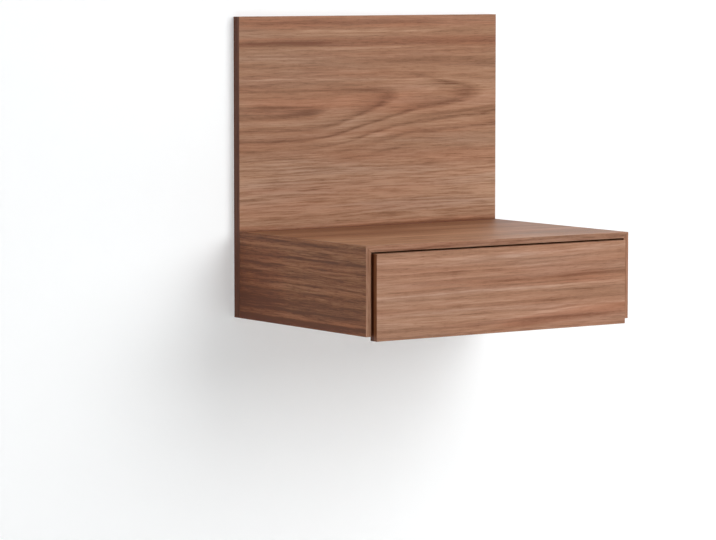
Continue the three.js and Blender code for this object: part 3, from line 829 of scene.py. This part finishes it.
screwKinds = {
    "panel_screw": {"head": 9.0 * mm, "shank": 4.5 * mm, "length": 27.5 * mm, "rim": 0.5 * mm,
                    "headHeight": 2.6 * mm, "tip": 4.0 * mm, "pitch": 1.9 * mm},
    "cleat_screw": {"head": 7.0 * mm, "shank": 3.5 * mm, "length": 11.0 * mm, "rim": 0.3 * mm,
                    "headHeight": 1.8 * mm, "tip": 3.0 * mm, "pitch": 1.5 * mm},
    "slide_screw": {"head": 6.5 * mm, "shank": 3.5 * mm, "length": 9.0 * mm, "rim": 0.3 * mm,
                    "headHeight": 1.8 * mm, "tip": 3.0 * mm, "pitch": 1.5 * mm},
    "front_screw": {"head": 8.0 * mm, "shank": 4.0 * mm, "length": 25.0 * mm, "rim": 0.5 * mm,
                    "headHeight": 2.4 * mm, "tip": 4.0 * mm, "pitch": 1.8 * mm},
}
screwShape = {"neckShare": 0.88, "rootShare": 0.7, "ridgeSlope": 1.9, "rowsPerTurn": 7, "sides": 24,
              "recessShare": 0.6, "recessWidth": 1.0 * mm, "recessDepthShare": 0.7, "recessTaper": 0.55,
              "rimRound": 0.12 * mm, "rimShare": 0.98}


def turnedScrew(kind):
    shape = screwShape
    radius, shank, top, length = kind["head"] / 2, kind["shank"] / 2, kind["headHeight"], kind["length"]
    step = kind["pitch"] / shape["rowsPerTurn"]
    outline = [(0, 0), (radius, 0), (radius, kind["rim"]), (shank * shape["neckShare"], top)]
    outline += [(shank, top + (n + 1) * step) for n in range(int((length - top - 2 * step) / step))]
    outline.append((0, length))
    mesh = turned(outline, Vector(), shape["sides"])
    for vertex in mesh.verts:
        height = vertex.co.y
        if height < top + step / 2 or math.hypot(vertex.co.x, vertex.co.z) < weldDistance:
            continue
        turns = height / kind["pitch"] - math.atan2(vertex.co.z, vertex.co.x) / math.tau
        away = abs((turns % 1.0) - 0.5) * 2
        ridge = max(0.0, 1.0 - away * shape["ridgeSlope"])
        narrowing = min(1.0, (length - height) / kind["tip"])
        share = narrowing * (shape["rootShare"] + (1 - shape["rootShare"]) * ridge)
        vertex.co.x *= share
        vertex.co.z *= share
    rim = []
    rimFrom = radius * shape["rimShare"]
    for edge in mesh.edges:
        if all(end.co.y < weldDistance and end.co.xz.length > rimFrom for end in edge.verts):
            rim.append(edge)
    bevel(mesh, rim, shape["rimRound"])
    for turn in (0, math.pi / 2):
        mesh = carve(mesh, crossArm(kind, turn))
    bmesh.ops.remove_doubles(mesh, verts=mesh.verts, dist=weldDistance)
    bmesh.ops.dissolve_degenerate(mesh, edges=mesh.edges, dist=weldDistance)
    return mesh


def crossArm(kind, turn):
    shape = screwShape
    arm = bmesh.new()
    reach = kind["head"] * shape["recessShare"]
    depth = kind["headHeight"] * shape["recessDepthShare"]
    for vertex in bmesh.ops.create_cube(arm, size=1)["verts"]:
        deep = vertex.co.y > 0
        taper = shape["recessTaper"] if deep else 1.0
        width = shape["recessWidth"] * taper
        vertex.co = Vector((vertex.co.x * reach * taper, depth if deep else -depth, vertex.co.z * width))
    bmesh.ops.rotate(arm, verts=arm.verts, cent=(0, 0, 0), matrix=Matrix.Rotation(turn, 3, "Y"))
    return arm


# Where a screw's head lies and which way its tip points, read from its solid
def pointingOf(node):
    low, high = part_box(node)
    size = high - low
    axis = max(range(3), key=lambda n: size[n])
    middle = centreOf(node)
    others = [n for n in range(3) if n != axis]

    def spread(vertex):
        return math.hypot(*(vertex.co[n] - middle[n] for n in others))

    widest = max(frame["nodes"][node].data.vertices, key=spread)
    pointing = Vector((0, 0, 0))
    pointing[axis] = -1 if widest.co[axis] > middle[axis] else 1
    head = middle.copy()
    head[axis] = high[axis] if pointing[axis] < 0 else low[axis]
    return head, pointing


def putAt(mesh, node):
    head, pointing = pointingOf(node)
    turn = Vector((0, 1, 0)).rotation_difference(pointing).to_matrix().to_4x4()
    bmesh.ops.transform(mesh, matrix=Matrix.Translation(head) @ turn, verts=mesh.verts)
    return mesh


for kindName, kind in screwKinds.items():
    master = turnedScrew(kind)
    for node in [name for name in frame["nodes"] if kindName in name]:
        addPiece(node, putAt(master.copy(), node), [finishes["screwZinc"]])
    master.free()
print("screws ready")


# Drawer slides: bent strips with rounded corners, holes and slots

slideLook = {
    "metal": 1.2 * mm,
    "bend": 1.5 * mm,
    "bendSteps": 5,
    "lipHeight": 2.5 * mm,
    "holeRoom": 0.3 * mm,
    "accessRadius": 7.0 * mm,
    "accessInset": 80.0 * mm,
    "slotRadius": 2.2 * mm,
    "slotStretch": 2.6 * mm,
    "slotShares": (0.18, 0.30, 0.50, 0.70, 0.82),
    "slotRoom": 15.0 * mm,
    "bossRadius": 1.8 * mm,
    "bossOverlap": 0.3 * mm,
    "rivetRadius": 3.0 * mm,
    "rivetHeight": 0.8 * mm,
    "rivetRound": 0.48 * mm,
    "rivetSteps": 4,
}
cageLook = {
    "metal": 0.7 * mm,
    "bend": 1.0 * mm,
    "ballRadius": 1.5 * mm,
    "ballsPerArm": 14,
    "ballInset": 8.0 * mm,
    "pocketShare": 0.93,
    "pocketSides": 20,
    "ballSides": (14, 8),
}


def bentStrip(outline, startY, endY, thickness, bend):
    mesh = bmesh.new()
    verts = [mesh.verts.new((x, startY, z)) for x, z in outline]
    edges = [mesh.edges.new(pair) for pair in zip(verts, verts[1:])]
    made = bmesh.ops.extrude_edge_only(mesh, edges=edges)["geom"]
    moved = [item for item in made if isinstance(item, bmesh.types.BMVert)]
    bmesh.ops.translate(mesh, verts=moved, vec=(0, endY - startY, 0))
    bevel(mesh, [edge for edge in mesh.edges if len(edge.link_faces) == 2], bend, slideLook["bendSteps"])
    middle = sum(x for x, z in outline) / len(outline)
    mesh.normal_update()
    web = max(mesh.faces, key=lambda face: face.calc_area())
    outwards = web.calc_center_median().x - middle
    if web.normal.x * outwards < 0:
        bmesh.ops.reverse_faces(mesh, faces=mesh.faces)
    bmesh.ops.solidify(mesh, geom=mesh.faces[:], thickness=thickness)
    bmesh.ops.recalc_face_normals(mesh, faces=mesh.faces)
    return mesh


def memberOutline(low, high, webAtLow, lip=0):
    web, tip = (low.x, high.x) if webAtLow else (high.x, low.x)
    outline = [(tip, low.z), (web, low.z), (web, high.z), (tip, high.z)]
    if lip:
        outline = [(tip, low.z + lip), *outline, (tip, high.z - lip)]
    return outline


def countersink(screw):
    kind = screwKinds["slide_screw"]
    radius, shank, rim = kind["head"] / 2 + slideLook["holeRoom"], kind["shank"] / 2, kind["rim"]
    outline = [(0, -rim), (radius, -rim), (radius, rim), (shank, kind["headHeight"]),
               (shank, kind["length"]), (0, kind["length"])]
    return putAt(turned(outline, Vector(), roundSides), screw)


def slideMember(node, webAtLow, lip=0, screws=(), access=False):
    look = slideLook
    low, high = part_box(node)
    outline = memberOutline(low, high, webAtLow, lip)
    mesh = bentStrip(outline, low.y, high.y, look["metal"], look["bend"])
    tool = bmesh.new()
    inward = Vector((1 if webAtLow else -1, 0, 0))
    start = Vector((low.x if webAtLow else high.x, 0, (low.z + high.z) / 2)) - inward * look["metal"]
    through = 3 * look["metal"]
    holes = [low.y + look["accessInset"], high.y - look["accessInset"]] if access else []
    for y in holes:
        addRound(tool, start + Vector((0, y, 0)), inward, look["accessRadius"], through)
    for place, share in enumerate(look["slotShares"]):
        stretch = Vector((0, 0, 0))
        stretch[2 if place % 2 else 1] = look["slotStretch"]
        y = low.y + share * (high.y - low.y)
        if all(abs(y - hole) >= look["slotRoom"] for hole in holes):
            addSlot(tool, start + Vector((0, y, 0)), inward, look["slotRadius"], stretch, through)
    mesh = carve(mesh, tool)
    for screw in screws:
        mesh = carve(mesh, countersink(screw))
    return mesh


# The boss that a lever turns on, from the member's web to a rounded rivet head beyond the lever
def leverBoss(hand, webX):
    look = slideLook
    low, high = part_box(f"release_lever_{hand}")
    hub = Vector(jointNamed[f"lever_{hand}_turn"]["pos_m"])
    outer, aim = (low.x, -1) if hand == "left" else (high.x, 1)
    neckEnd = outer + aim * look["holeRoom"]
    boss = bmesh.new()
    reach = abs(neckEnd - webX) + look["bossOverlap"]
    addRound(boss, (webX, hub.y, hub.z), (aim, 0, 0), look["bossRadius"], reach)
    rivet = bmesh.new()
    addRound(rivet, (neckEnd, hub.y, hub.z), (aim, 0, 0), look["rivetRadius"], look["rivetHeight"])
    top = []
    for edge in rivet.edges:
        if all(abs(end.co.x - neckEnd) > look["rivetHeight"] / 2 for end in edge.verts):
            top.append(edge)
    bevel(rivet, top, look["rivetRound"], look["rivetSteps"])
    return carve(boss, rivet, "UNION")


def ballCage(node, webAtLow):
    look = cageLook
    low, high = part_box(node)
    metal, radius = look["metal"], look["ballRadius"]
    inner = low.copy()
    outer = high.copy()
    inner.z += radius - metal / 2
    outer.z -= radius - metal / 2
    outline = memberOutline(inner, outer, webAtLow)
    mesh = bentStrip(outline, low.y, high.y, metal, look["bend"])
    ballX = high.x - radius if webAtLow else low.x + radius
    tool = bmesh.new()
    spots = []
    step = (high.y - low.y - 2 * look["ballInset"]) / (look["ballsPerArm"] - 1)
    for z in (inner.z + metal / 2, outer.z - metal / 2):
        for n in range(look["ballsPerArm"]):
            spot = Vector((ballX, low.y + look["ballInset"] + n * step, z))
            spots.append(spot)
            base = spot - Vector((0, 0, 2 * metal))
            addRound(tool, base, (0, 0, 1), radius * look["pocketShare"], 4 * metal, look["pocketSides"])
    mesh = carve(mesh, tool)
    around, down = look["ballSides"]
    for spot in spots:
        made = bmesh.ops.create_uvsphere(
            mesh, u_segments=around, v_segments=down, radius=radius, matrix=Matrix.Translation(spot),
        )
        for face in {face for vertex in made["verts"] for face in vertex.link_faces}:
            face.material_index = 1
    return mesh


steel = [finishes["zincSteel"]]
for hand in ("left", "right"):
    onLeft = hand == "left"
    node = f"slide_cabinet_{hand}"
    screws = [f"cabinet_slide_screw_{hand}_{end}" for end in ("front", "rear")]
    addPiece(node, slideMember(node, onLeft, slideLook["lipHeight"], screws), steel)
    node = f"slide_middle_{hand}"
    addPiece(node, slideMember(node, onLeft, access=True), steel)
    node = f"slide_drawer_{hand}"
    screws = [f"drawer_slide_screw_{hand}_{end}" for end in ("front", "rear")]
    mesh = slideMember(node, not onLeft, screws=screws)
    low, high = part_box(node)
    webX = high.x - slideLook["metal"] / 2 if onLeft else low.x + slideLook["metal"] / 2
    addPiece(node, carve(mesh, leverBoss(hand, webX), "UNION"), steel)
    for ring in ("outer", "inner"):
        node = f"{ring}_ball_cage_{hand}"
        addPiece(node, ballCage(node, onLeft), [finishes["cageSteel"], finishes["ballSteel"]])
print("slides ready")


# Cleats, levers and bumpers

cleatLook = {"metal": 2.0 * mm, "edge": 0.25 * mm, "shortestEdge": 100 * mm, "grooves": 3,
             "grooveWidth": 0.7 * mm, "grooveStep": 9.0 * mm, "grooveLength": 1.0}
leverLook = {"edge": 0.3 * mm, "shortestEdge": 1 * mm, "grooves": 3, "grooveWidth": 0.7 * mm,
             "grooveStep": 2.0 * mm, "grooveLength": 20 * mm, "paddleRadius": 4.0 * mm}
bumperLook = {"rimShare": 0.3, "domeSteps": 8, "sides": 40}


# V-grooves side by side: parallel to an axis, spread along a second one about the middle
def grooveTool(look, middle, axis, spreadAxis):
    tool = bmesh.new()
    size = [look["grooveWidth"] / math.sqrt(2)] * 3
    size["XYZ".index(axis)] = look["grooveLength"]
    turn = Matrix.Rotation(math.pi / 4, 4, axis)
    for n in range(look["grooves"]):
        spot = Vector(middle)
        spot["XYZ".index(spreadAxis)] += (n - (look["grooves"] - 1) / 2) * look["grooveStep"]
        matrix = Matrix.Translation(spot) @ turn @ Matrix.Diagonal((*size, 1))
        bmesh.ops.create_cube(tool, size=1, matrix=matrix)
    return tool


def softDome(node):
    low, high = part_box(node)
    radius = (high.x - low.x) / 2
    height = (high.y - low.y) * (1 - bumperLook["rimShare"])
    top = low.y + height
    outline = [(0, high.y), (radius, high.y)]
    for angle in quarterTurn(bumperLook["domeSteps"]):
        outline.append((radius * math.cos(angle), top - height * math.sin(angle)))
    return turned(outline, centreOf(node), bumperLook["sides"])


screwLine = centreOf("cleat_screw_1").z
wallLow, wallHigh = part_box("wall_cleat")
panelCleatLow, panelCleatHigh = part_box("panel_cleat")
grooveMiddles = {
    "wall_cleat": (0, wallHigh.y, wallLow.z + (panelCleatHigh.z - screwLine)),
    "panel_cleat": (0, panelCleatLow.y + cleatLook["metal"], screwLine),
}
for node, middle in grooveMiddles.items():
    mesh = mergedCopy(node)
    roundEdges(mesh, cleatLook["edge"], cleatLook["shortestEdge"])
    addPiece(node, carve(mesh, grooveTool(cleatLook, middle, "X", "Z")), [finishes["millAluminium"]])

for hand in ("left", "right"):
    node = f"release_lever_{hand}"
    mesh = mergedCopy(node)
    roundEdges(mesh, leverLook["edge"], leverLook["shortestEdge"])
    low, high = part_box(node)
    middle = (low.x if hand == "left" else high.x, low.y + leverLook["paddleRadius"], (low.z + high.z) / 2)
    addPiece(node, carve(mesh, grooveTool(leverLook, middle, "Z", "Y")), [finishes["leverPlastic"]])
    node = f"bumper_{hand}"
    addPiece(node, softDome(node), [finishes["bumperRubber"]])
print("cleats, levers and bumpers ready")


# Stage: a wall with the panel's outline left open, curving into a floor; it is seen from its front only

stageLook = {
    "wallColour": (0.72, 0.735, 0.745),
    "wallGlow": 0.31,
    "wallGap": 0.2 * mm,
    "floorColour": (0.84, 0.84, 0.83),
    "floorGlow": 0.12,
    "floorLevel": -0.94,
    "curve": 0.28,
    "curveSteps": 24,
    "curveNormals": (0.001, 0.999),
    "reach": 7.0,
    "glowFade": (1.2, 3.2),
}


# 1 for what the camera sees itself, in a reflection or through glass, 0 for the light that falls on things
def seenItself(tree):
    path = addNode(tree, "ShaderNodeLightPath").outputs
    rays = total(tree, path["Is Camera Ray"], path["Is Glossy Ray"], path["Is Transmission Ray"])
    return calc(tree, "MINIMUM", rays, 1)


def stageMaterial(name):
    look = stageLook
    material, tree, shader = newMaterial(name)
    tree.nodes.remove(shader)
    place = objectPlace(tree)
    distance = addNode(tree, "ShaderNodeVectorMath", {0: place}, operation="LENGTH").outputs["Value"]
    level = look["floorLevel"]
    height = remap(tree, axesOf(tree, place)["Z"], level, level + look["curve"], smooth=True)
    nearGlow = remap(tree, height, 0, 1, look["floorGlow"], look["wallGlow"])
    fade = remap(tree, distance, *look["glowFade"], smooth=True)
    glow = product(tree, seenItself(tree), remap(tree, fade, 0, 1, nearGlow, 1))
    colour = mixColour(tree, height, look["floorColour"], look["wallColour"])
    diffuse = addNode(tree, "ShaderNodeBsdfDiffuse", {"Color": colour}).outputs[0]
    light = addNode(tree, "ShaderNodeEmission", {"Strength": glow}).outputs[0]
    front = addNode(tree, "ShaderNodeAddShader", {0: diffuse, 1: light}).outputs[0]
    back = addNode(tree, "ShaderNodeBsdfTransparent").outputs[0]
    behind = addNode(tree, "ShaderNodeNewGeometry").outputs["Backfacing"]
    both = addNode(tree, "ShaderNodeMixShader", {0: behind, 1: front, 2: back}).outputs[0]
    tree.links.new(both, tree.nodes["Material Output"].inputs["Surface"])
    return material


def backdropMesh():
    look = stageLook
    mesh = bmesh.new()
    panelLow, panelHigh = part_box("back_panel")
    reach, curve, wallY = look["reach"], look["curve"], look["wallGap"]
    wallFoot = look["floorLevel"] + curve
    corners = [
        (-reach, wallFoot, reach, reach),
        (panelLow.x, panelLow.z, panelHigh.x, panelHigh.z),
    ]
    loops = []
    for left, bottom, right, top in corners:
        outline = [(left, bottom), (right, bottom), (right, top), (left, top)]
        loops.append([mesh.verts.new((x, wallY, z)) for x, z in outline])
    rims = [mesh.edges.new((loop[n - 1], loop[n])) for loop in loops for n in range(4)]
    bmesh.ops.bridge_loops(mesh, edges=rims)
    rows = []
    for angle in quarterTurn(look["curveSteps"])[1:]:
        rows.append((wallY - curve * (1 - math.cos(angle)), wallFoot - curve * math.sin(angle)))
    rows.append((-reach, look["floorLevel"]))
    previous = loops[0][:2]
    for y, z in rows:
        current = [mesh.verts.new((side * reach, y, z)) for side in (-1, 1)]
        mesh.faces.new((*previous, *reversed(current)))
        previous = current
    mesh.normal_update()
    upright, lying = look["curveNormals"]
    for face in mesh.faces:
        if face.normal.y - face.normal.z > 0:
            face.normal_flip()
        face.smooth = upright < abs(face.normal.z) < lying
    return mesh


meshObject("backdrop", backdropMesh(), [stageMaterial("backdropPaint")])
print("stage ready")


# Light and camera

lamps = {
    "keyLamp": {"from": (0.42, -1.0, 0.54), "distance": 4.0, "size": 3.0, "power": 143.0},
    "rearLamp": {"from": (-0.5, 1.0, 0.5), "distance": 4.0, "size": 3.0, "power": 60.0},
}
lampTarget = (0.0, -0.2, -0.1)
roomLevel = 0.27

for name, look in lamps.items():
    data = bpy.data.lights.new(name, "AREA")
    data.shape = "SQUARE"
    data.size = look["size"]
    data.energy = look["power"]
    lamp = bpy.data.objects.new(name, data)
    scene.collection.objects.link(lamp)
    away = Vector(look["from"]).normalized()
    lamp.location = Vector(lampTarget) + away * look["distance"]
    lamp.rotation_euler = away.to_track_quat("Z", "Y").to_euler()

world = bpy.data.worlds.new("room")
scene.world = world
world.use_nodes = True
room = world.node_tree
background = room.nodes["Background"]
background.inputs["Color"].default_value = (1, 1, 1, 1)
room.links.new(remap(room, seenItself(room), 0, 1, roomLevel, 1), background.inputs["Strength"])

cameraLook = {
    "place": (-3.4966, -5.0193, 0.3427),
    "turn": 34.7486,
    "tilt": 4.9841,
    "lens": 174.4,
    "sensor": 36.0,
}
cameraData = bpy.data.cameras.new("camera")
cameraData.lens = cameraLook["lens"]
cameraData.sensor_width = cameraLook["sensor"]
cameraData.sensor_fit = "HORIZONTAL"
camera = bpy.data.objects.new("camera", cameraData)
scene.collection.objects.link(camera)
camera.location = cameraLook["place"]
camera.rotation_euler = (math.radians(90 - cameraLook["tilt"]), 0, math.radians(-cameraLook["turn"]))
scene.camera = camera
scene.view_settings.view_transform = "Standard"
print("light and camera ready")
